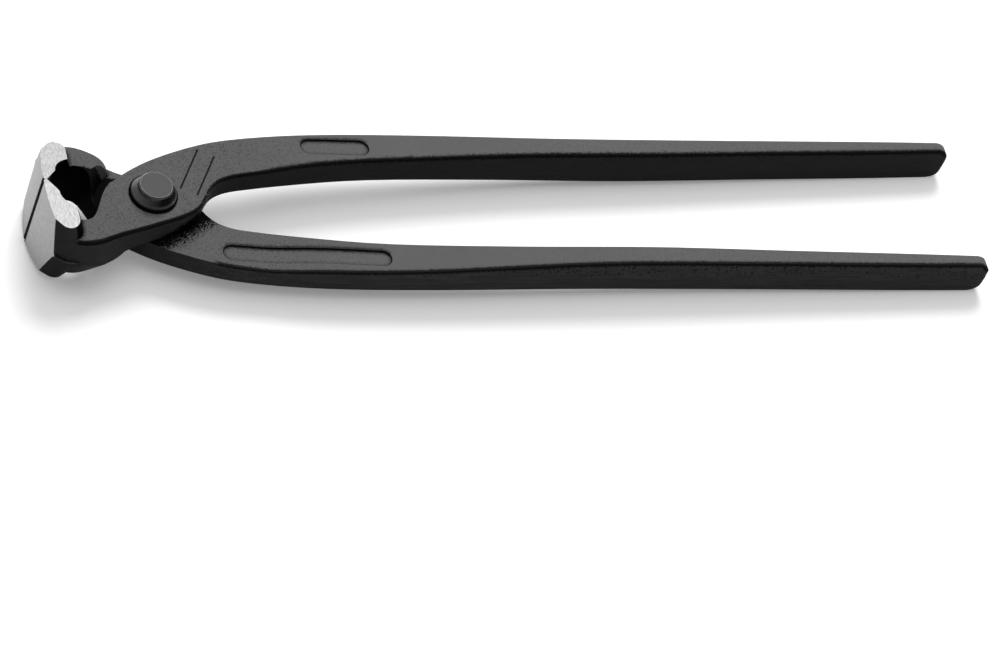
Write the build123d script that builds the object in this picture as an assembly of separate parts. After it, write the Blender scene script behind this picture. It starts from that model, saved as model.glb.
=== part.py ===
from build123d import *
import os
from math import atan2, cos, degrees, radians, sin, tan

os.makedirs("parts", exist_ok=True)

# Rebar tying pliers: two drop-forged levers that lap at one rivet, drawn with the jaws closed.
# X runs along the tool towards the handle tips, Y across the handles and Z along the rivet.
# The origin is the middle of the flat end of the rear rivet head.
# A lever is drawn about the pivot, with z = 0 in the lap plane, and lifted at the end.
# Both levers come from one forging: the rear one is the front one turned half round about X.

# Whole tool, millimetres
jaw_reach = 31.8
handle_reach = 248.2
handle_spread = 23.0
head_depth = 19.3
jaw_width = 26.0
overrun = 20.0

# Forging: the parting plane is the lap plane, and the sides lean in from it by the draft
draft_height = 8.0
draft_outset = 3.6
edge_round = 0.8

# Joint
plate_thickness = 6.8
lap_gap = 0.1
nose_clearance = 0.85
lap_lean = 3.4
neck_thickness = 8.0
neck_setback = 10.8
neck_foot_reach = 9.0

# Handle
handle_width = 12.8
grip_thickness = 12.0
tip_round_share = 0.375
tip_crown = 0.3

# Jaw block, measured from the cutting edge and from the line where the jaws meet
end_radius = 46.0
side_lean = 9.1
jaw_gap = 0.1
seam_bevel = 0.35
edge_land = 0.6
crown_height = 19.2
crown_setback = 7.8
crown_radius = 6.0
flash_thickness = 1.0
flash_step = 0.7
side_crown_height = 14.1
side_crown_setback = 5.15
side_crown_radius = 2.45
step_setback = 6.7

# Rivet
shank_radius = 4.0
bore_clearance = 0.05
head_seat_gap = 0.03
head_height = 4.1
head_base_radius = 6.8
head_base_land = 0.5
head_top_radius = 4.45
head_top_round = 0.35
head_waist_share = 0.22
head_steep_share = 0.34

# Shallow fields sunk into the forging, all of them bare
field_depth = 0.5
field_width = 5.4
short_field_length = 20.4
short_field_start = 45.6
short_field_height = 17.8
long_field_length = 47.5
long_field_start = 18.6
long_field_height = 14.3
long_field_rise = 4.1
groove_width = 0.5
groove_depth = 0.35
groove_length = 15.8
groove_start = 8.1
groove_height = 2.1
groove_spacing = 4.9
groove_angle = 61.7

# How far the lap side leans in, as a share of the outer side
lap_draft_share = 1.25

# How far a face looks outward, or an edge runs across, to count as doing so
facing_share = 0.5
across_share = 0.9

# Edges of the forging: share of the reach, share of the height, share of the draft outset.
# The head's points follow jaw_reach and head_depth, the handle's follow its own sizes.
head_upper_shares = (
    (-0.340, 0.238, 0.06),
    (-0.154, 0.461, 0.06),
    (0.000, 0.606, 0.08),
    (0.292, 0.813, 0.08),
    (0.616, 0.979, 0.08),
)
head_lower_shares = (
    (-0.790, -0.800, 0.76),
    (-0.629, -0.829, 0.92),
    (-0.503, -0.772, 1.17),
    (-0.393, -0.705, 0.92),
    (-0.267, -0.653, 0.42),
    (-0.094, -0.580, 0.11),
    (0.094, -0.472, 0.08),
    (0.286, -0.347, 0.08),
    (0.409, -0.202, 0.08),
    (0.481, -0.016, 0.03),
    (0.575, 0.197, 0.05),
    (0.723, 0.332, 0.08),
)
# Share of the handle's reach, of its spread to the outer side, of its width, of the outset
handle_shares = (
    (0.121, 0.896, 1.00, 0.09),
    (0.169, 0.948, 0.90, 0.11),
    (0.242, 0.991, 0.77, 0.12),
    (0.342, 1.004, 0.65, 0.14),
    (0.463, 0.987, 0.50, 0.17),
    (0.604, 0.983, 0.44, 0.17),
    (0.745, 0.991, 0.375, 0.17),
    (0.866, 1.000, 0.33, 0.17),
    (0.995, 1.000, 0.25, 0.17),
)
# Share of the handle's reach, and of half the grip's thickness, along its lap side
swell_shares = (
    (0.121, 0.00),
    (0.169, 0.18),
    (0.242, 0.35),
    (0.342, 0.56),
    (0.463, 0.86),
    (0.604, 1.00),
)
top_fall_shares = (0.121, 0.342)
# The wall of the throat, from the foot of the cutting bevel to the corner of the plate
throat_shares = (
    (-0.879, -0.181),
    (-0.846, -0.316),
    (-0.799, -0.383),
    (-0.736, -0.425),
    (-0.654, -0.461),
    (-0.585, -0.435),
    (-0.528, -0.321),
    (-0.472, -0.104),
    (-0.418, 0.078),
    (-0.371, 0.187),
    (-0.340, 0.238),
)

# Where the nose of the plate meets the line between the jaws, as a share of the jaw's reach
plate_nose_share = 0.445

# The long curves are cut at every third of their points, counted from the handle's first
cut_step = 3

rivet_reach = plate_thickness + head_seat_gap + head_height
lap_radius = plate_nose_share * jaw_reach + nose_clearance
jaw_half = jaw_width / 2
grip_half = grip_thickness / 2
tip_round = tip_round_share * grip_thickness


def smooth(points, first):
    """One smooth curve through the points, cut into short edges at the first and every third point."""
    vectors = [Vector(*point) for point in points]
    curve = Edge.make_spline(vectors)
    inner = [i for i in range(1, len(points) - 1) if (i - first) % cut_step == 0]
    cuts = [0] + [curve.param_at_point(vectors[i]) for i in inner] + [1]
    return [curve.trim(a, b) for a, b in zip(cuts, cuts[1:])]


def upper_edge(z, drafted):
    """The edge from the corner of the plate over the joint and along the handle's outer side."""
    outset = draft_outset * (1 - drafted)
    points = [(x * jaw_reach, y * head_depth + d * outset, z) for x, y, d in head_upper_shares]
    points += [(x * handle_reach, y * handle_spread + d * outset, z) for x, y, w, d in handle_shares]
    return points


def lower_edge(z, drafted):
    """The edge from the jaw under the joint, round the crotch and along the inner side."""
    outset = draft_outset * (1 - drafted)
    points = [(x * jaw_reach, y * head_depth - d * outset, z) for x, y, d in head_lower_shares]
    points += [
        (x * handle_reach, y * handle_spread - w * handle_width - d * outset, z)
        for x, y, w, d in handle_shares
    ]
    return points


def plan_outline(z, drafted):
    """The lever's outline at one level; drafted is 0 in the parting plane and 1 at full draft."""
    lower = lower_edge(z, drafted)
    upper = upper_edge(z, drafted)
    corner = (lower[0][0], upper[0][1], z)
    edges = smooth(lower, len(head_lower_shares))
    tip = (handle_reach + tip_crown, (lower[-1][1] + upper[-1][1]) / 2, z)
    edges.append(Edge.make_three_point_arc(lower[-1], tip, upper[-1]))
    edges += smooth(upper, len(head_upper_shares))[::-1]
    edges.append(Edge.make_line(upper[0], corner))
    edges.append(Edge.make_line(corner, lower[0]))
    return Wire(edges)


def drafted_plan():
    """The forging in plan, leaning in above and below the parting plane."""
    parting = plan_outline(0, 0)
    above = Solid.make_loft([parting, plan_outline(draft_height, 1)], ruled=True)
    below = Solid.make_loft([plan_outline(-draft_height, lap_draft_share), parting], ruled=True)
    return above + below


def side_profile(top_drop=0, bottom_rise=0):
    """The lever seen from the side, swept across the tool; the two values thin it."""
    top = plate_thickness - top_drop
    grip_top = grip_half - top_drop
    grip_bottom = -grip_half + bottom_rise
    lap = lap_gap / 2 + bottom_rise
    neck = -neck_thickness + bottom_rise
    left = step_setback - jaw_reach
    neck_end = neck_setback - jaw_reach
    fall_start, fall_end = (share * handle_reach for share in top_fall_shares)
    along = (Vector(1, 0, 0), Vector(1, 0, 0))
    fall = Edge.make_spline([Vector(fall_start, 0, top), Vector(fall_end, 0, grip_top)], tangents=along)
    swell = Edge.make_spline(
        [Vector(x * handle_reach, 0, lap + s * (grip_bottom - lap)) for x, s in swell_shares],
        tangents=along,
    )
    start, stop = swell.position_at(0), swell.position_at(1)
    shoulder = handle_reach - tip_round
    edges = [
        Edge.make_line((left, 0, top), (fall_start, 0, top)),
        fall,
        Edge.make_line((fall_end, 0, grip_top), (shoulder, 0, grip_top)),
        Edge.make_tangent_arc((shoulder, 0, grip_top), (1, 0, 0), (handle_reach, 0, grip_top - tip_round)),
        Edge.make_line((handle_reach, 0, grip_top - tip_round), (handle_reach, 0, grip_bottom + tip_round)),
        Edge.make_tangent_arc(
            (handle_reach, 0, grip_bottom + tip_round), (0, 0, -1), (shoulder, 0, grip_bottom)
        ),
        Edge.make_line((shoulder, 0, grip_bottom), stop),
        swell,
        Edge.make_line(start, (-neck_foot_reach, 0, lap)),
        Edge.make_tangent_arc((neck_end, 0, neck), (1, 0, 0), (-neck_foot_reach, 0, lap)),
        Edge.make_line((neck_end, 0, neck), (left, 0, neck)),
        Edge.make_line((left, 0, neck), (left, 0, top)),
    ]
    half = handle_spread + overrun
    profile = Face(Wire(edges)).moved(Location((0, -half, 0)))
    return Solid.extrude(profile, Vector(0, 2 * half, 0))


def lap_hollow():
    """The round hollow on the lap side that the other lever's plate turns in."""
    depth = neck_thickness + lap_gap
    cone = Solid.make_cone(lap_radius, lap_radius + lap_lean, depth)
    return cone.rotate(Axis.X, 180).moved(Location((0, 0, lap_gap / 2)))


def crown_outline(z, height, setback, radius):
    """The jaw block at one level: a rounded crown over a straight back."""
    x = setback - jaw_reach
    y = radius - height
    slant = radius * cos(radians(45))
    reach = head_depth
    start = Vector(x - slant, y - slant, z)
    end = Vector(x + radius, y, z)
    foot = Vector(start.X - reach, start.Y + reach, z)
    edges = [
        Edge.make_line(foot, start),
        Edge.make_three_point_arc(start, Vector(x, y - radius, z), end),
        Edge.make_line(end, Vector(end.X, foot.Y, z)),
        Edge.make_line(Vector(end.X, foot.Y, z), foot),
    ]
    return Wire(edges)


def jaw_block():
    """The jaw itself: drafted block, thin flash land, rounded end face, leaning ground sides."""
    parting = crown_outline(0, crown_height - flash_step, crown_setback, crown_radius - flash_step)
    side = (side_crown_height, side_crown_setback, side_crown_radius)
    above = Solid.make_loft([parting, crown_outline(jaw_half, *side)], ruled=True)
    below = Solid.make_loft([crown_outline(-jaw_half, *side), parting], ruled=True)
    rim = Face(crown_outline(-flash_thickness / 2, crown_height, crown_setback, crown_radius))
    block = above + below + Solid.extrude(rim, Vector(0, 0, flash_thickness))
    end_face = Solid.make_cylinder(end_radius, 2 * jaw_width).moved(
        Location((end_radius - jaw_reach, 0, -jaw_width))
    )
    block = block & end_face
    low = crown_height + overrun
    narrowing = low * tan(radians(side_lean))
    wedge = Face(
        Wire.make_polygon(
            [
                (-jaw_reach - overrun, 0, jaw_half),
                (-jaw_reach - overrun, -low, jaw_half - narrowing),
                (-jaw_reach - overrun, -low, narrowing - jaw_half),
                (-jaw_reach - overrun, 0, -jaw_half),
            ]
        )
    )
    return block & Solid.extrude(wedge, Vector(jaw_reach + 2 * overrun, 0, 0))


def throat_void():
    """Everything on the open side of the cutting edge, the bevel and the throat's wall."""
    meet = -jaw_gap / 2
    wall = [(x * jaw_reach, y * head_depth, -jaw_width) for x, y in throat_shares]
    left = -jaw_reach - overrun
    high = head_depth + overrun
    corners = [
        (left, meet - seam_bevel, -jaw_width),
        (-jaw_reach, meet - seam_bevel, -jaw_width),
        (-jaw_reach + seam_bevel, meet, -jaw_width),
        (-jaw_reach + seam_bevel + edge_land, meet, -jaw_width),
        wall[0],
    ]
    edges = [Edge.make_line(a, b) for a, b in zip(corners, corners[1:])]
    edges += smooth(wall, 0)
    rest = [wall[-1], (wall[-1][0], high, -jaw_width), (left, high, -jaw_width), corners[0]]
    edges += [Edge.make_line(a, b) for a, b in zip(rest, rest[1:])]
    return Solid.extrude(Face(Wire(edges)), Vector(0, 0, 2 * jaw_width))


def field(start, height, length, rise):
    """A shallow field with round ends, as a cutter through the whole handle."""
    angle = degrees(atan2(rise, length))
    middle = (start + length / 2, height + rise / 2, -overrun)
    slot = SlotOverall(length, field_width, rotation=angle)
    return extrude(slot, 2 * overrun, dir=(0, 0, 1)).moved(Location(middle))


def sunk_fields():
    """The short field on the outer face and the long one on the lap face."""
    whole = side_profile()
    outer_skin = whole - side_profile(top_drop=field_depth)
    lap_skin = whole - side_profile(bottom_rise=field_depth)
    short = field(short_field_start, short_field_height, short_field_length, 0)
    long = field(long_field_start, long_field_height, long_field_length, long_field_rise)
    return [short & outer_skin, long & lap_skin]


def slant_grooves():
    """Two fine parallel grooves that run aslant beside the rivet."""
    cutters = []
    for i in range(2):
        away = radians(groove_angle - 90)
        x = groove_start + i * groove_spacing * cos(away)
        y = groove_height + i * groove_spacing * sin(away)
        from_end = (Align.MIN, Align.CENTER, Align.CENTER)
        bar = Box(groove_length, groove_width, 2 * groove_depth, align=from_end)
        cutters.append(bar.moved(Location((x, y, plate_thickness), (0, 0, groove_angle))))
    return cutters


def runs_across(edge):
    """Whether an edge is one of the short straight ones from side to side."""
    return edge.geom_type == GeomType.LINE and abs(edge.tangent_at(0.5).Y) > across_share


def rim_edges(body):
    """The long edges round the outer face, from the tip inwards."""
    edges = [edge for face in body.faces() if face.normal_at().Z > facing_share for edge in face.edges()]
    rim = [edge for edge in edges if edges.count(edge) == 1 and not runs_across(edge)]
    return ShapeList(rim).sort_by(Axis.X, reverse=True)


def lever():
    """One forging about the pivot: its plate above the lap plane, its jaw below the handle's line."""
    body = (drafted_plan() & side_profile()).solid()
    body = body.fillet(edge_round, rim_edges(body))
    body = body - lap_hollow()
    body = body + jaw_block()
    body = body - throat_void()
    bore = Solid.make_cylinder(shank_radius + bore_clearance, 2 * overrun).moved(Location((0, 0, -overrun)))
    body = body - bore
    for cutter in sunk_fields() + slant_grooves():
        body = body - cutter
    return body


def rivet():
    """One rivet: a shank with a flared head, flat on its end, on each side of the joint."""
    seat = plate_thickness + head_seat_gap
    top = rivet_reach
    land = seat + head_base_land
    waist_radius = head_top_radius + head_waist_share * (head_base_radius - head_top_radius)
    waist = top - head_steep_share * (top - land)
    half = [
        (shank_radius, 0, 0),
        (shank_radius, 0, seat),
        (head_base_radius, 0, seat),
        (head_base_radius, 0, land),
        (waist_radius, 0, waist),
        (head_top_radius + head_top_round, 0, top - head_top_round),
        (head_top_radius, 0, top),
        (0, 0, top),
    ]
    outline = half + [(x, y, -z) for x, y, z in half[::-1][:-1]]
    return Solid.revolve(Face(Wire.make_polygon(outline)), 360, Axis.Z)


lift = Location((0, 0, rivet_reach))
front = lever()
rear = front.rotate(Axis.X, 180)
export_step(front.moved(lift), "parts/front_lever.step")
export_step(rear.moved(lift), "parts/rear_lever.step")
export_step(rivet().moved(lift), "parts/pivot_rivet.step")
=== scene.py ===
# %% [markdown]
# Rebar tying pliers, dressed for a product picture.
# The real tool is two black forged levers on one rivet, with jaws that are ground bright.
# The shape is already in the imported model, so this lesson is about finish, light and camera.
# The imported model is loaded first, because every place below is measured from it.

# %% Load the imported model
import bpy
from math import atan2, degrees, radians, tan
from mathutils import Matrix, Vector


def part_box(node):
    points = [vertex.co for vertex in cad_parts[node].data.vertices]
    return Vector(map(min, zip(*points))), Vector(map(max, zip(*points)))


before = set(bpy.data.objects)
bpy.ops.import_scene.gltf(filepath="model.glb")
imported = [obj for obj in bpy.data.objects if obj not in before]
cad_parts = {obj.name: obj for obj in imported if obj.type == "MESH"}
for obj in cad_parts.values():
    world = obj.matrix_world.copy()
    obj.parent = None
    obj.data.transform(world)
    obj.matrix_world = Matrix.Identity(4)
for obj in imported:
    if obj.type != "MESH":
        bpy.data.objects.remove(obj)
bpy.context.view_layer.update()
MM = 0.001
front_low, front_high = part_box("front_lever")
rear_low, rear_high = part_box("rear_lever")
rivet_low, rivet_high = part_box("pivot_rivet")
lap_height = (rivet_low.z + rivet_high.z) / 2
print("front lever in mm:", [round(v / MM, 1) for v in front_high - front_low])
print("rear lever in mm:", [round(v / MM, 1) for v in rear_high - rear_low])
print("lap plane at", round(lap_height / MM, 2), "mm")

# %% [markdown]
# The camera stands where the picture was taken from: in front of the lower handle, to the jaws'
# side, looking down at about 47 degrees through a long lens.
# It could be aimed by hand, but that is hard to repeat, so its place and its axes are written down.
# A long lens has nearly parallel lines of sight, which is why both handles look equally thick.

# %% Camera
SENSOR = 36.0
PICTURE_WIDTH = 1000
FOCAL_PIXELS = 4282.9
FAR_CLIP = 50
CAMERA_PLACE = Vector((-0.3310, -0.7071, 0.8694))
CAMERA_RIGHT = Vector((0.9326, -0.2223, 0.2845))
CAMERA_UP = Vector((0.0028, 0.7924, 0.6100))


def camera_turn(right, up):
    """A rotation whose first two axes are right and up, squared off against each other."""
    x = right.normalized()
    z = x.cross(up).normalized()
    y = z.cross(x)
    return Matrix((x, y, z)).transposed().to_4x4()


camera_data = bpy.data.cameras.new("camera")
camera_data.sensor_width = SENSOR
camera_data.lens = FOCAL_PIXELS * SENSOR / PICTURE_WIDTH
camera_data.clip_end = FAR_CLIP
camera = bpy.data.objects.new("camera", camera_data)
bpy.context.scene.collection.objects.link(camera)
camera_place = Matrix.Translation(CAMERA_PLACE + Vector((0, 0, lap_height)))
camera.matrix_world = camera_place @ camera_turn(CAMERA_RIGHT, CAMERA_UP)
bpy.context.scene.camera = camera
bpy.context.scene.view_settings.view_transform = "Standard"
print("lens", round(camera_data.lens, 1), "mm")

# %% [markdown]
# A finish is easier to read as a sum than as a tangle of nodes.
# The nodes could be added and linked one by one, but then 1 - mask alone takes four lines.
# This small class wraps a socket instead, so that a * b or 1 - mask adds the Math nodes for it.


# %% Shader arithmetic
class Value:
    """One output socket of a node tree, which can be used in sums."""

    def __init__(self, tree, socket):
        self.tree = tree
        self.socket = socket

    def math(self, operation, *others):
        inputs = dict(enumerate((self, *others)))
        return self.tree.node("ShaderNodeMath", {"operation": operation}, inputs)

    def __add__(self, other):
        return self.math("ADD", other)

    def __radd__(self, other):
        return self.math("ADD", other)

    def __sub__(self, other):
        return self.math("SUBTRACT", other)

    def __rsub__(self, other):
        return self * -1 + other

    def __mul__(self, other):
        return self.math("MULTIPLY", other)

    def __rmul__(self, other):
        return self.math("MULTIPLY", other)

    def either(self, other):
        """The larger of two masks."""
        return self.math("MAXIMUM", other)

    def above(self, edge, width):
        """0 below the edge and 1 above it, with a fade of that width between them."""
        return ((self - edge) * (1 / width) + 0.5).math("MINIMUM", 1).math("MAXIMUM", 0)

    def below(self, edge, width):
        """1 below the edge and 0 above it, with the same fade."""
        return 1 - self.above(edge, width)


print("a socket can be added, subtracted, multiplied and compared")

# %% [markdown]
# Every node that isn't a sum comes from one method, which takes its type, its settings and its inputs.
# The settings come first, because some nodes change their sockets with them.
# The same method fills the materials of the tool, the sheet under it and the light round it.

# %% Node trees
MIX_FACTOR, MIX_FIRST, MIX_SECOND, MIX_RESULT = 0, 6, 7, 2


class Tree:
    """The nodes of a material or a world, emptied and ready to be filled."""

    def __init__(self, owner):
        owner.use_nodes = True
        self.owner = owner
        self.nodes = owner.node_tree.nodes
        self.links = owner.node_tree.links
        self.nodes.clear()

    def node(self, kind, settings=None, inputs=None, output=0):
        """Adds a node and gives one of its outputs, or a list of them."""
        node = self.nodes.new(kind)
        for name, value in (settings or {}).items():
            setattr(node, name, value)
        for name, value in (inputs or {}).items():
            if isinstance(value, Value):
                self.links.new(value.socket, node.inputs[name])
            else:
                node.inputs[name].default_value = value
        if isinstance(output, list):
            return [Value(self, node.outputs[name]) for name in output]
        return Value(self, node.outputs[output]) if len(node.outputs) else None

    def noise(self, place, scale, detail=2.0, roughness=0.5):
        inputs = {"Vector": place, "Scale": scale, "Detail": detail, "Roughness": roughness}
        return self.node("ShaderNodeTexNoise", {}, inputs)

    def mix(self, factor, first, second):
        """Blends two colours."""
        inputs = {MIX_FACTOR: factor, MIX_FIRST: first, MIX_SECOND: second}
        return self.node("ShaderNodeMix", {"data_type": "RGBA"}, inputs, MIX_RESULT)

    def shade(self, shader):
        """Ends a material with its shader."""
        self.node("ShaderNodeOutputMaterial", {}, {"Surface": shader})
        return self.owner


print("node trees can be filled")

# %% [markdown]
# A place on the tool is a vector, and masks are sums of its three numbers, so it is split first.
# It is joined again where a pattern is stretched one way, or to measure the distance from an axis.
# The tool has no colour but grey, so a colour is one number written three times.

# %% Vectors and greys
def split(vector):
    """The three numbers of a vector."""
    return vector.tree.node("ShaderNodeSeparateXYZ", {}, {0: vector}, ["X", "Y", "Z"])


def join(x, y, z):
    """The vector of three numbers."""
    return x.tree.node("ShaderNodeCombineXYZ", {}, {0: x, 1: y, 2: z})


def from_axis(x, y):
    """How far a point lies from an axis that stands upright."""
    return x.tree.node("ShaderNodeVectorMath", {"operation": "LENGTH"}, {0: join(x, y, 0.0)}, "Value")


def grey(value):
    return (value, value, value, 1.0)


def greys(tree, factor, pair):
    """A grey between two, by a factor that changes over the surface."""
    return tree.mix(factor, grey(pair[0]), grey(pair[1]))


print("vectors can be split and joined")

# %% [markdown]
# Each lever is one drop forging, and the rear one is the front one turned half round about the
# tool's length. Its finish could be painted on each piece by hand, but masks that are worked out
# from the place and the facing of the surface stay crisp in a close view, and one material with
# them dresses both levers. So the finish starts with where a point lies: along the tool, above or
# below the lap between the two levers, aside from the midline, and which way its surface faces.
# far_quarter is 1 above the lap on the far side and below it on the near side. The half turn
# brings these two quarters onto each other, so a mask may differ between them and the other two.

# %% Where a point of a lever lies
WALL_FACING = 0.55
INWARD_FACING = 0.2
FACING_FADE = 0.1
QUARTER_FADE = MM * MM
forging = Tree(bpy.data.materials.new("blackened_forging"))
place, facing = forging.node("ShaderNodeTexCoord", output=["Object", "Normal"])
along, across, up = split(place)
facing_along, facing_across, facing_up = split(facing)
signed_level = up - lap_height
level = signed_level.math("ABSOLUTE")
aside = across.math("ABSOLUTE")
flat = facing_up.math("ABSOLUTE")
upright = flat.below(WALL_FACING, FACING_FADE)
inward = (facing_across * across.math("SIGN") * -1).above(INWARD_FACING, FACING_FADE)
far_quarter = (signed_level * across).above(0.0, QUARTER_FADE)
print("place and facing:", len(forging.nodes), "nodes")

# %% [markdown]
# The edges and corners of the levers are sharp in the model, while on the tool the near edges and
# the inner corners lie in dark shade, and that shade is painted. Two nodes find them without any
# new shape. The Bevel node gives the normal of an edge as if it were rounded, so edge_turn is over 0
# where an edge turns from the top to the near side, or from the underside to the far side. Ambient
# Occlusion, kept to the same piece, finds the inner corners. A fine speckle makes the borders of all
# dark places ragged.

# %% Edges and corners
EDGE_REACH = 2.1 * MM
EDGE_SAMPLES = 8
CREASE_REACH = 1.5 * MM
CREASE_SAMPLES = 6
SPECKLE_SCALE, SPECKLE_ROUGHNESS = 1500.0, 0.6
NOISE_MIDDLE = 0.5


def rounded_normal(tree, reach, samples):
    """The normal that a face would have if its edges were rounded over that reach."""
    return tree.node("ShaderNodeBevel", {"samples": samples}, {"Radius": reach})


to_object = {"vector_type": "NORMAL", "convert_from": "WORLD", "convert_to": "OBJECT"}
rounded = rounded_normal(forging, EDGE_REACH, EDGE_SAMPLES)
turned = split(forging.node("ShaderNodeVectorTransform", to_object, {0: rounded}))
edge_turn = turned[1] * turned[2] * -1
own_corners = {"samples": CREASE_SAMPLES, "only_local": True}
crease = 1 - forging.node("ShaderNodeAmbientOcclusion", own_corners, {"Distance": CREASE_REACH}, "AO")
speckle = forging.noise(place, SPECKLE_SCALE, roughness=SPECKLE_ROUGHNESS) - NOISE_MIDDLE
print("edges and corners:", len(forging.nodes), "nodes")

# %% [markdown]
# The jaws are ground bright after the forging is blackened: a round face across their ends and
# two sides that lean in towards the top and the underside. Bright faces could be a second
# material on chosen faces, but both finishes are on one piece of steel and meet at a crisp line.
# So a point counts as ground when it lies on the end cylinder or on one of the leaning planes.
# A band along the seam between the closed jaws is painted black as the shade of their edges, and
# the outer corners of the end face at the height of the lap stay black too.

# %% Ground faces of the jaws
CRISP = 0.1 * MM
END_RADIUS = 46.0 * MM
END_TOLERANCE = 0.09 * MM
END_FADE = 0.02 * MM
SIDE_LEAN = radians(9.1)
JAW_HALF = 13.0 * MM
SIDE_TOLERANCE = 0.02 * MM
LEAN_FADE = 0.01 * MM
BLOCK_LENGTH = 16.0 * MM
SEAM_HALF = 1.0 * MM
CORNER_ASIDE = 16.0 * MM
CORNER_LEVEL = 0.8 * MM
end_axis = front_low.x + END_RADIUS
on_end = from_axis(along - end_axis, across).above(END_RADIUS - END_TOLERANCE, END_FADE)
on_side = (level + aside * tan(SIDE_LEAN)).above(JAW_HALF - SIDE_TOLERANCE, LEAN_FADE)
# The seam band is painted shade: it is kept off the ground steel here and painted black further down.
on_seam = aside.below(SEAM_HALF, CRISP)
on_corner = aside.above(CORNER_ASIDE, CRISP) * level.below(CORNER_LEVEL, CRISP)
on_block = (along * -1).above(BLOCK_LENGTH, CRISP)
ground = on_block * (on_end * (1 - on_seam) * (1 - on_corner)).either(on_side)
print("ground faces:", len(forging.nodes), "nodes")

# %% [markdown]
# Between the jaws, behind their cutting edges, lies an open throat whose walls lie in dark shade,
# and the spur of steel between it and the round hollow of the jaw is as dark. More shadow from the
# light would blacken the rest of the tool too, so that shade is painted there as black: on the walls
# that face the midline, and on the top of the spur.

# %% Painted shade in the throat and on the spur
SHADE_EDGE = 0.3 * MM
THROAT_START = -29.0 * MM
THROAT_END = -6.0 * MM
THROAT_FADE = 1.0 * MM
THROAT_HALF = 12.5 * MM
THROAT_BACK_HALF = 10.3 * MM
THROAT_TAPER = 2.0 * MM
THROAT_RAGGED = 2.0 * MM
SPUR_START, SPUR_START_FADE = -19.5 * MM, 1.0 * MM
SPUR_END, SPUR_END_FADE = -14.6 * MM, 0.5 * MM
SPUR_HALF = 8.8 * MM
SPUR_RAGGED = 3.0 * MM
throat_half = along.above(SPUR_START, THROAT_TAPER) * (THROAT_BACK_HALF - THROAT_HALF) + THROAT_HALF
# The throat walls and the top of the spur get painted shade.
in_throat = along.above(THROAT_START, CRISP) * along.below(THROAT_END, THROAT_FADE)
in_throat = in_throat * (throat_half - aside + speckle * THROAT_RAGGED).above(0.0, SHADE_EDGE)
in_throat = in_throat * upright * inward
on_spur = (aside + speckle * SPUR_RAGGED).below(SPUR_HALF, SHADE_EDGE)
on_spur = on_spur * along.above(SPUR_START, SPUR_START_FADE) * along.below(SPUR_END, SPUR_END_FADE)
on_spur = on_spur * far_quarter * (1 - upright)
print("throat and spur:", len(forging.nodes), "nodes")

# %% [markdown]
# The two levers turn on each other at the lap. The bare part of it beside the joint plates and in
# the round hollows lies in the shadow of the plates and the jaws, and that shade is painted black.
# It is thickest in the corner by the joint and breaks up into grains towards the handles, so a
# coarse noise shifts its border by several millimetres, and only faces that lie level at the lap
# take it.

# %% Painted shade on the lap
LAP_NOISE_SCALE, LAP_NOISE_DETAIL = 2800.0, 1.0
LAP_NOISE_RAGGED = 11.0 * MM
LAP_RAGGED = 3.0 * MM
SHADE_ALONG, SHADE_ASIDE = 0.512, 0.859
SHADE_REACH = 13.1 * MM
SHADE_FADE = 1.2 * MM
HOLLOW_BACK = -4.0 * MM
HOLLOW_HALF = 11.2 * MM
HOLLOW_RAGGED = 2.0 * MM
HOLLOW_FADE = 0.5 * MM
LAP_DEPTH = 0.3 * MM
LEVEL_FACING = 0.9
lap_noise = forging.noise(place, LAP_NOISE_SCALE, LAP_NOISE_DETAIL, SPECKLE_ROUGHNESS) - NOISE_MIDDLE
from_joint = along * SHADE_ALONG + aside * SHADE_ASIDE + lap_noise * LAP_NOISE_RAGGED + speckle * LAP_RAGGED
past_hollow = along.above(HOLLOW_BACK, HOLLOW_FADE)
in_joint = from_joint.below(SHADE_REACH, SHADE_FADE) * past_hollow
in_hollow = (aside + speckle * HOLLOW_RAGGED).below(HOLLOW_HALF, HOLLOW_FADE) * (1 - past_hollow)
lap_face = level.below(LAP_DEPTH, CRISP) * flat.above(LEVEL_FACING, FACING_FADE)
# The level faces of the lap get painted shade here.
on_lap = in_joint.either(in_hollow) * lap_face
print("soot on the lap:", len(forging.nodes), "nodes")

# %% [markdown]
# Two more walls lie in dark shade, which is painted on them. One is the foot of the joint plate,
# where it stands on the other lever: the painted shade there climbs with the distance from the
# rivet. The other is the step behind the jaw, which faces the handles. Each shows in two of the
# four quarters only.

# %% Foot of the joint plate and step behind the jaw
NECK_END = 16.0 * MM
NECK_FADE = 2.0 * MM
FOOT_CLIMB = 0.5
FOOT_CLEAR = 1.0 * MM
FOOT_RAGGED = 5.0 * MM
FOOT_FADE = 2.0 * MM
STEP_FACING, STEP_FLAT_FADE = 0.45, 0.05
STEP_START = -27.0 * MM
STEP_END = -18.0 * MM
STEP_FADE = 0.5 * MM
past_joint = along.above(NECK_END, NECK_FADE)
# The foot of the joint plate gets painted shade.
on_foot = (along * FOOT_CLIMB - level - FOOT_CLEAR + speckle * FOOT_RAGGED).above(0.0, FOOT_FADE)
on_foot = on_foot * upright * (1 - past_joint) * (1 - far_quarter)
# The step behind the jaw gets painted shade.
on_step = facing_along.above(STEP_FACING, FACING_FADE) * flat.below(LEVEL_FACING, STEP_FLAT_FADE)
on_step = on_step * along.above(STEP_START, STEP_FADE) * along.below(STEP_END, STEP_FADE)
on_step = on_step * (1 - far_quarter)
print("foot and step:", len(forging.nodes), "nodes")
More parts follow.
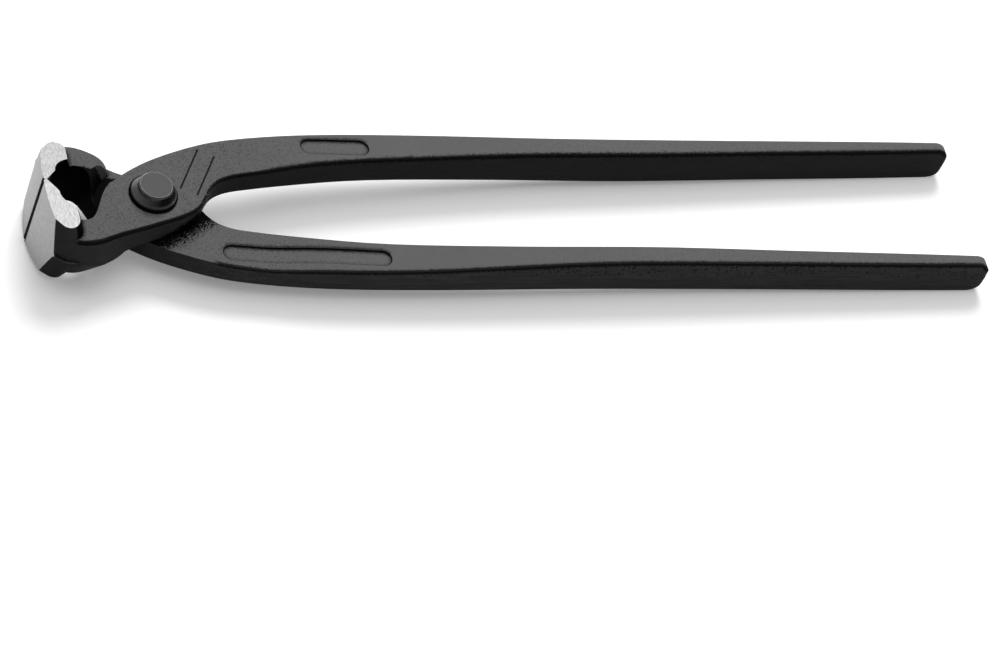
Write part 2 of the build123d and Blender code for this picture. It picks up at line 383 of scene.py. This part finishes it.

# %% [markdown]
# A thin black line runs along the near top edge of both handles and round the joint plates.
# It could be a groove in the shape, but it is the shade of an edge that turns away from the light,
# so it is painted shade that follows edge_turn with a ragged border. Near the joint only edges at
# the height of the plate's top have it, and the plate's flat top and the hump of the far jaw stay
# clean. The inner corners get the same black as painted shade.

# %% Painted shade on rims and corners
RIM_TURN, RIM_FADE, RIM_RAGGED = 0.2, 0.06, 0.6
RIM_NEAR_EXTRA = 0.35
RIM_FRONT, RIM_FRONT_FADE = -24.0 * MM, 1.0 * MM
RIM_LEVEL, RIM_LEVEL_FADE = 5.7 * MM, 0.4 * MM
PLATE_FACING, PLATE_FACING_FADE = 0.97, 0.02
PLATE_LEVEL, PLATE_LEVEL_FADE = 6.78 * MM, 0.05 * MM
HUMP_END, HUMP_FADE = -5.0 * MM, 1.0 * MM
CREASE_DEPTH, CREASE_FADE, CREASE_RAGGED = 0.16, 0.1, 0.2
past_hump = 1 - far_quarter * along.below(HUMP_END, HUMP_FADE)
on_plate = flat.above(PLATE_FACING, PLATE_FACING_FADE) * level.above(PLATE_LEVEL, PLATE_LEVEL_FADE)
at_rim = past_joint.either(level.above(RIM_LEVEL, RIM_LEVEL_FADE))
rim_turn = edge_turn * ((1 - far_quarter) * RIM_NEAR_EXTRA + 1.0)
# The painted shade along the near edges.
rim_shade = (rim_turn + speckle * RIM_RAGGED).above(RIM_TURN, RIM_FADE)
rim_shade = rim_shade * along.above(RIM_FRONT, RIM_FRONT_FADE) * at_rim * past_hump * (1 - on_plate)
# The painted shade in the inner corners.
crease_shade = (crease + speckle * CREASE_RAGGED).above(CREASE_DEPTH, CREASE_FADE)
print("rims and corners:", len(forging.nodes), "nodes")

# %% [markdown]
# The skin of the forging is a matt dark grey. Its tops are a little paler towards the tips, and
# its sides are darkest at the joint, with faint streaks along the tool from the die. The faces that
# look inwards get a darker grey as painted shade. An image texture could hold all this, but these
# sums give it at any size.

# %% Skin of the tops and sides
CLOUD_SCALE = 45.0
TOP_NEAR_GREYS = (0.096, 0.110)
TOP_FAR_GREYS = (0.104, 0.116)
TOP_MIDDLE, TOP_FADE = 100.0 * MM, 80.0 * MM
SIDE_JOINT_GREY, SIDE_HANDLE_GREY, INWARD_SHADE_GREY = 0.064, 0.125, 0.058
SIDE_MIDDLE, SIDE_FADE = 10.0 * MM, 25.0 * MM
INNER_FADE = 10.0 * MM
STREAK_STRETCH, STREAK_SCALE, STREAK_ROUGHNESS = 0.06, 900.0, 0.6
STREAK_EDGE, STREAK_FADE, STREAK_GREY, STREAK_SHARE = 0.45, 0.35, 0.04, 0.5
cloud = forging.noise(place, CLOUD_SCALE)
streak_place = join(along * STREAK_STRETCH, across, up)
streaks = forging.noise(streak_place, STREAK_SCALE, roughness=STREAK_ROUGHNESS)
streaks = streaks.above(STREAK_EDGE, STREAK_FADE) * STREAK_SHARE
near_top = greys(forging, cloud, TOP_NEAR_GREYS)
far_top = greys(forging, cloud, TOP_FAR_GREYS)
top = forging.mix(along.above(TOP_MIDDLE, TOP_FADE), near_top, far_top)
outer_side = greys(forging, along.above(SIDE_MIDDLE, SIDE_FADE), (SIDE_JOINT_GREY, SIDE_HANDLE_GREY))
# The faces that look inwards get a darker grey as painted shade.
side = forging.mix(inward * along.above(0.0, INNER_FADE), outer_side, grey(INWARD_SHADE_GREY))
side = forging.mix(streaks, side, grey(STREAK_GREY))
skin = forging.mix(upright, top, side)
print("tops and sides:", len(forging.nodes), "nodes")

# %% [markdown]
# Blasting leaves a fine pebble in the skin, coarser on the joint and at the tips than in between.
# Its pits are darker than its crests, and patches of forging scale cloud it.
# The painted shade of the rims, the corners and the shaded places found above goes on last.

# %% Pits, scale and painted shade
PEBBLE_SCALE, PEBBLE_ROUGHNESS = 2400.0, 0.7
MIDDLE_START, MIDDLE_FADE, MIDDLE_FINER = 45.0 * MM, 40.0 * MM, 0.8
TIP_START, TIP_FADE, TIP_COARSER = 130.0 * MM, 60.0 * MM, 0.3
PIT_GAIN, PIT_GREY = 6.5, 0.05
MARKS_SCALE, MARKS_DETAIL, MARKS_ROUGHNESS = 420.0, 3.0, 0.55
MARKS_EDGE, MARKS_FADE, MARKS_GREY, MARKS_SHARE = 0.55, 0.3, 0.075, 0.15
RIM_SHADE_GREY, RIM_SHADE_SHARE = 0.005, 0.95
# The grey of the painted shade.
PAINTED_SHADE_GREY = 0.001
coarse = 1 - along.above(MIDDLE_START, MIDDLE_FADE) * MIDDLE_FINER
coarse = coarse + along.above(TIP_START, TIP_FADE) * TIP_COARSER
pebble = forging.noise(place, PEBBLE_SCALE, roughness=PEBBLE_ROUGHNESS)
scale_marks = forging.noise(place, MARKS_SCALE, MARKS_DETAIL, MARKS_ROUGHNESS)
pits = (NOISE_MIDDLE - pebble).math("MAXIMUM", 0) * PIT_GAIN * coarse
skin = forging.mix(pits.math("MINIMUM", 1), skin, grey(PIT_GREY))
skin = forging.mix(scale_marks.above(MARKS_EDGE, MARKS_FADE) * MARKS_SHARE, skin, grey(MARKS_GREY))
# The painted shade on the near edges and in the inner corners.
skin = forging.mix(rim_shade.either(crease_shade) * RIM_SHADE_SHARE, skin, grey(RIM_SHADE_GREY))
# The painted shade in the throat, on the lap, the plate's foot, the step, the seam and the spur.
painted_shade = in_throat.either(on_lap).either(on_foot).either(on_step)
painted_shade = painted_shade.either(on_seam * on_end * on_block).either(on_spur)
skin = forging.mix(painted_shade, skin, grey(PAINTED_SHADE_GREY))
print("pits, scale and soot:", len(forging.nodes), "nodes")

# %% [markdown]
# Ground steel shows fine scratches across the tool. They could be modelled, but they are far finer
# than any mesh here, so a noise that is stretched four times along them varies the grey a little.
# The sides were ground more coarsely than the end face, so their two greys lie further apart.

# %% Brushed steel
BRUSH_STRETCH, BRUSH_SCALE, BRUSH_ROUGHNESS = 0.25, 3200.0, 0.7
BRUSH_EDGE, BRUSH_FADE = 0.5, 0.4
SIDE_STEEL_GREYS = (0.26, 0.45)
END_STEEL_GREYS = (0.31, 0.37)
brush_place = join(along, across * BRUSH_STRETCH, up * BRUSH_STRETCH)
brushed = forging.noise(brush_place, BRUSH_SCALE, roughness=BRUSH_ROUGHNESS)
brushed = brushed.above(BRUSH_EDGE, BRUSH_FADE)
side_steel = greys(forging, brushed, SIDE_STEEL_GREYS)
end_steel = greys(forging, brushed, END_STEEL_GREYS)
steel = forging.mix(on_end, side_steel, end_steel)
print("brushed steel:", len(forging.nodes), "nodes")

# %% [markdown]
# One shader then takes both finishes: the ground mask turns the metal on and the pebble off.
# The pebble is relief of a few hundredths of a millimetre, so a Bump node carries it.
# The blackened skin has almost no gloss, which the low specular level gives.

# %% Shader of the levers
PEBBLE_RELIEF, MARKS_RELIEF = 0.7, 0.3
RELIEF_STRENGTH, RELIEF_DEPTH = 0.5, 0.07 * MM
SKIN_ROUGHNESS, GROUND_SMOOTHER, END_ROUGHER = 0.58, 0.2, 0.14
SKIN_SPECULAR = 0.02


def wear(node, material):
    """Puts a material in every material slot of a node of the model."""
    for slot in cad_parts[node].material_slots:
        slot.material = material


relief = pebble * PEBBLE_RELIEF * coarse + scale_marks * MARKS_RELIEF
pebble_relief = {"Strength": RELIEF_STRENGTH, "Distance": RELIEF_DEPTH, "Height": relief * (1 - ground)}
lever_look = {
    "Base Color": forging.mix(ground, skin, steel),
    "Metallic": ground,
    "Roughness": SKIN_ROUGHNESS - ground * GROUND_SMOOTHER + ground * on_end * END_ROUGHER,
    "Specular IOR Level": SKIN_SPECULAR,
    "Normal": forging.node("ShaderNodeBump", {}, pebble_relief),
}
lever_skin = forging.shade(forging.node("ShaderNodeBsdfPrincipled", {}, lever_look))
wear("front_lever", lever_skin)
wear("rear_lever", lever_skin)
print("levers wear", lever_skin.name, "of", len(forging.nodes), "nodes")

# %% [markdown]
# The rivet is turned and then blackened with the levers, so it is smoother and glossier than they
# are. The edge of its flat end is bright, a painted highlight that also stands for black rubbed off
# there. The side of its head that faces the handles is painted nearly black as shade, and so is the
# corner at its foot. Each part could be a material on its own faces, but heights above the lap and
# distances from the axis find the parts without any faces.

# %% Parts of the rivet's head
FLAT_LEVEL = 10.4 * MM
FOOT_RADIUS = 6.3 * MM
NECK_RADIUS = 5.9 * MM
RIVET_SHADE_FADE = 0.3 * MM
SHADED_FACING, SHADED_FADE = -0.15, 0.6
turning = Tree(bpy.data.materials.new("blackened_rivet"))
rivet_place, rivet_facing = turning.node("ShaderNodeTexCoord", output=["Object", "Normal"])
rivet_along, rivet_across, rivet_up = split(rivet_place)
on_flat = (rivet_up - lap_height).math("ABSOLUTE").above(FLAT_LEVEL, CRISP)
from_rivet_axis = from_axis(rivet_along, rivet_across)
shaded = split(rivet_facing)[0].above(SHADED_FACING, SHADED_FADE)
# The foot and the side of the neck that faces the handles get painted shade.
on_rivet_foot = from_rivet_axis.above(FOOT_RADIUS, RIVET_SHADE_FADE)
on_rivet_neck = from_rivet_axis.below(NECK_RADIUS, RIVET_SHADE_FADE) * (1 - on_flat) * shaded
print("rivet's head:", len(turning.nodes), "nodes")

# %% [markdown]
# The head's flat end is darker than its flank, with a thin bright edge round it, a painted highlight
# that also stands for black rubbed off by handling. The edge could be a ring of its own, but it is
# only a brighter grey: it is where the rounded normal of the Bevel node turns away from the true one.

# %% Greys of the rivet
RIVET_EDGE_REACH = 0.25 * MM
RIVET_EDGE_SAMPLES = 6
RIVET_EDGE_TURN, RIVET_EDGE_FADE = 0.05, 0.04
RIVET_GREYS = (0.06, 0.075)
FLAT_GREY = 0.032
RIM_HIGHLIGHT_GREY = 0.6
RIVET_CLOUD_SCALE = 160.0
rivet_rounded = rounded_normal(turning, RIVET_EDGE_REACH, RIVET_EDGE_SAMPLES)
true_normal = turning.node("ShaderNodeNewGeometry", output="Normal")
both_normals = {0: rivet_rounded, 1: true_normal}
likeness = turning.node("ShaderNodeVectorMath", {"operation": "DOT_PRODUCT"}, both_normals, "Value")
rivet_rim_highlight = (1 - likeness).above(RIVET_EDGE_TURN, RIVET_EDGE_FADE)
rivet_grey = greys(turning, turning.noise(rivet_place, RIVET_CLOUD_SCALE), RIVET_GREYS)
rivet_grey = turning.mix(on_flat, rivet_grey, grey(FLAT_GREY))
# The painted highlight round the flat end, which also stands for rubbed wear.
rivet_grey = turning.mix(rivet_rim_highlight * on_flat, rivet_grey, grey(RIM_HIGHLIGHT_GREY))
print("rivet's greys:", len(turning.nodes), "nodes")

# %% [markdown]
# The rivet's skin is glossy, with a fine grain and a glint on its rounded edge, while its near-black
# painted shade has almost no gloss. One shader could fade between the two, but gloss and painted
# shade differ in all their values, so each is a shader, and the places found above mix them.

# %% Shader of the rivet
GRAIN_SCALE, GRAIN_STRENGTH, GRAIN_DEPTH = 2000.0, 0.25, 0.03 * MM
RIVET_ROUGHNESS, RIVET_SPECULAR = 0.22, 0.35
# The values of the rivet's near-black painted shade.
RIVET_SHADE_GREY, RIVET_SHADE_ROUGHNESS, RIVET_SHADE_SPECULAR = 0.002, 0.9, 0.02
NECK_SHADE_SHARE = 0.9
grain = turning.noise(rivet_place, GRAIN_SCALE)
grain_relief = {
    "Strength": GRAIN_STRENGTH,
    "Distance": GRAIN_DEPTH,
    "Height": grain,
    "Normal": rivet_rounded,
}
rivet_look = {
    "Base Color": rivet_grey,
    "Roughness": RIVET_ROUGHNESS,
    "Specular IOR Level": RIVET_SPECULAR,
    "Normal": turning.node("ShaderNodeBump", {}, grain_relief),
}
rivet_shade_look = {
    "Base Color": grey(RIVET_SHADE_GREY),
    "Roughness": RIVET_SHADE_ROUGHNESS,
    "Specular IOR Level": RIVET_SHADE_SPECULAR,
}
glossy = turning.node("ShaderNodeBsdfPrincipled", {}, rivet_look)
# The near-black shader of the painted shade.
rivet_shade = turning.node("ShaderNodeBsdfPrincipled", {}, rivet_shade_look)
# Where painted shade covers the rivet: its foot and the side of the neck that faces the handles.
rivet_shade_mask = on_rivet_foot.either(on_rivet_neck * NECK_SHADE_SHARE)
rivet_skin = turning.shade(turning.node("ShaderNodeMixShader", {}, {0: rivet_shade_mask, 1: glossy, 2: rivet_shade}))
wear("pivot_rivet", rivet_skin)
print("rivet wears", rivet_skin.name, "of", len(turning.nodes), "nodes")

# %% [markdown]
# The pliers lie on a white sheet. It has to look white in the picture without throwing light up
# at the tool's black sides. A darker sheet would turn grey in the picture, so the sheet has two
# looks: the camera and reflections see white paper, and light that bounces sees a dull one.

# %% White sheet
PAPER_GREY = 0.84
PAPER_GLOW = 0.23
BOUNCE_GREY = 0.2
paper = Tree(bpy.data.materials.new("white_sheet"))
camera_ray, glossy_ray = paper.node("ShaderNodeLightPath", output=["Is Camera Ray", "Is Glossy Ray"])
white = paper.node("ShaderNodeBsdfDiffuse", {}, {"Color": grey(PAPER_GREY)})
glow = paper.node("ShaderNodeEmission", {}, {"Color": grey(1.0), "Strength": PAPER_GLOW})
white = paper.node("ShaderNodeAddShader", {}, {0: white, 1: glow})
dull = paper.node("ShaderNodeBsdfDiffuse", {}, {"Color": grey(BOUNCE_GREY)})
seen = camera_ray.either(glossy_ray)
sheet = paper.shade(paper.node("ShaderNodeMixShader", {}, {0: seen, 1: dull, 2: white}))
print("sheet:", len(paper.nodes), "nodes")

# %% [markdown]
# The tool rests on the lower corners of the jaws and on the tips of the handles.
# The jaws are wider than the grips, so it doesn't lie quite level. The model could be tipped,
# but its nodes stay where they are, so the sheet is tilted to meet it instead.

# %% Where the sheet lies
SHEET_SIZE = 6.0
JAW_CORNER_X = -25.0 * MM
GRIP_HALF = 6.0 * MM
TIP_X = front_high.x - 4.5 * MM
bpy.ops.object.select_all(action="DESELECT")
bpy.ops.mesh.primitive_plane_add(size=SHEET_SIZE)
floor = bpy.context.object
floor.name = "floor"
jaw_corner_z = front_low.z
tip_z = lap_height - GRIP_HALF
floor_tilt = atan2(tip_z - jaw_corner_z, TIP_X - JAW_CORNER_X)
floor_place = Matrix.Translation((JAW_CORNER_X, 0, jaw_corner_z))
floor.matrix_world = floor_place @ Matrix.Rotation(-floor_tilt, 4, "Y")
floor.data.materials.append(sheet)
print("floor tilt", round(degrees(floor_tilt), 2), "degrees")

# %% [markdown]
# The light is a soft tent overhead. It is brightest straight above and dark at the horizon, which
# lights the tops and leaves the sides nearly black, as in the picture. A box of lamps could do the
# same, but a world costs nothing and has no edges to mirror. Reflections see a tent of their own,
# brighter at the back, so that the rivet and the ground steel shine there, and the camera sees white.

# %% Tent of light
TENT_STRENGTH = 2.2
TENT_FALL = 6.0
GLOSS_ABOVE = 2.1
GLOSS_BEHIND = 1.0
GLOSS_LEAST = 0.05
tent_world = bpy.data.worlds.new("tent")
bpy.context.scene.world = tent_world
tent = Tree(tent_world)
camera_ray, glossy_ray = tent.node("ShaderNodeLightPath", output=["Is Camera Ray", "Is Glossy Ray"])
direction = split(tent.node("ShaderNodeTexCoord", output="Generated"))
height = direction[2].math("MAXIMUM", 0.0)
lit = height.math("POWER", TENT_FALL) * TENT_STRENGTH
mirrored = (height * GLOSS_ABOVE + direction[1] * GLOSS_BEHIND).math("MAXIMUM", GLOSS_LEAST)
strength = lit * (1 - camera_ray) * (1 - glossy_ray) + mirrored * glossy_ray + camera_ray
background = tent.node("ShaderNodeBackground", {}, {"Color": grey(1.0), "Strength": strength})
tent.node("ShaderNodeOutputWorld", {}, {"Surface": background})
print("tent:", len(tent.nodes), "nodes")

# %% [markdown]
# One smaller lamp stands above and behind the handles and gives the tool its soft shadow on the
# viewer's side. It is aimed at the part of the tool that the picture centres on, and reflections
# don't see it, because its round disk would show in the rivet's flat end.

# %% Lamp
LAMP_DIRECTION = Vector((0.16, 0.62, 0.78)).normalized()
LAMP_DISTANCE = 1.5
LAMP_SIZE = 0.8
LAMP_POWER = 22.0
LAMP_AIM_SHARE = 0.4
lamp_data = bpy.data.lights.new("lamp", "AREA")
lamp_data.shape = "DISK"
lamp_data.size = LAMP_SIZE
lamp_data.energy = LAMP_POWER
lamp = bpy.data.objects.new("lamp", lamp_data)
lamp.visible_glossy = False
bpy.context.scene.collection.objects.link(lamp)
lamp_aim = Vector((front_low.x + LAMP_AIM_SHARE * (front_high.x - front_low.x), 0, lap_height))
lamp.location = lamp_aim + LAMP_DIRECTION * LAMP_DISTANCE
lamp.rotation_euler = LAMP_DIRECTION.to_track_quat("Z", "Y").to_euler()
print("lamp at", [round(v, 2) for v in lamp.location], "m")
